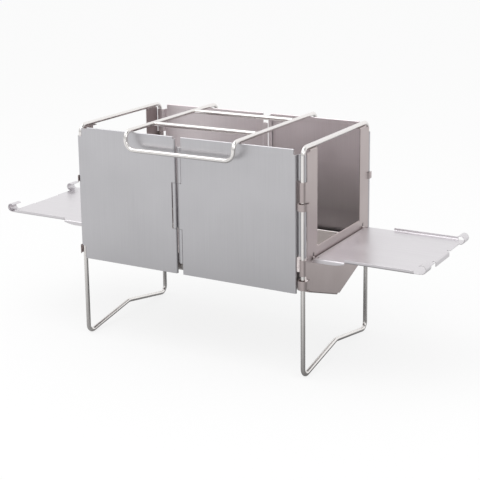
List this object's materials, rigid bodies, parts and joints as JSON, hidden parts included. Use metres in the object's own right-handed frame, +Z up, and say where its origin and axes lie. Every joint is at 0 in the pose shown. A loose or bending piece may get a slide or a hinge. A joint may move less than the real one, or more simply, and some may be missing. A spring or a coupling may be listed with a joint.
{
  "type": "fire pit cooking stand",
  "caption": "Folding stainless sheet-and-rod fire pit: hinged wall panels between two rod leg loops, V-shaped fire bed, lift-off trivet and a fold-down side table at each end.",
  "frame": {"origin": "on the ground, under the middle of the stand", "axes": "+Z up; +X along the long side, towards the right side table; +Y to the back, away from the trivet's handle"},
  "size_m": [0.659, 0.244, 0.3102],
  "materials": {
    "brushed_sheet": "stainless sheet, fine vertical brushing",
    "polished_rod": "polished stainless rod",
    "hinge_pin": "drawn stainless rod",
    "satin_sheet": "stainless sheet, satin",
    "fire_bed_sheet": "stainless sheet, brushed"
  },
  "bodies": {
    "stand": {"front_left_panel": "brushed_sheet", "front_right_panel": "brushed_sheet", "back_left_panel": "brushed_sheet", "back_right_panel": "brushed_sheet", "left_end_plate": "brushed_sheet", "right_end_plate": "brushed_sheet", "front_centre_link": "brushed_sheet", "back_centre_link": "brushed_sheet", "left_rod_frame": "polished_rod", "right_rod_frame": "polished_rod", "front_centre_left_pin": "hinge_pin", "front_centre_right_pin": "hinge_pin", "back_centre_left_pin": "hinge_pin", "back_centre_right_pin": "hinge_pin", "left_table_hinge_pin": "hinge_pin", "right_table_hinge_pin": "hinge_pin"},
    "left_table": {"left_side_table": "satin_sheet"},
    "right_table": {"right_side_table": "satin_sheet"},
    "trivet": {"trivet_rail_and_handle": "polished_rod", "trivet_front_bar": "polished_rod", "trivet_back_bar": "polished_rod"},
    "fire_bed": {"fire_bed_back_plate": "fire_bed_sheet", "fire_bed_hinge_pin": "hinge_pin"},
    "fire_bed_front": {"fire_bed_front_plate": "fire_bed_sheet"}
  },
  "joints": [
    {"name": "right_table_hinge", "type": "hinge", "parent": "stand", "child": "right_table", "pos_m": [0.18, 0, 0.1562], "axis": [0, -1, 0], "range_deg": [0, 84]},
    {"name": "left_table_hinge", "type": "hinge", "parent": "stand", "child": "left_table", "pos_m": [-0.18, 0, 0.1562], "axis": [0, 1, 0], "range_deg": [0, 84]},
    {"name": "trivet_lift", "type": "slide", "parent": "stand", "child": "trivet", "axis": [0, 0, 1], "range_m": [0, 0.06]},
    {"name": "fire_bed_lift", "type": "slide", "parent": "stand", "child": "fire_bed", "axis": [0, 0, 1], "range_m": [0, 0.14]},
    {"name": "fire_bed_fold", "type": "hinge", "parent": "fire_bed", "child": "fire_bed_front", "pos_m": [0, 0, 0.08556], "axis": [-1, 0, 0], "range_deg": [0, 115]}
  ]
}
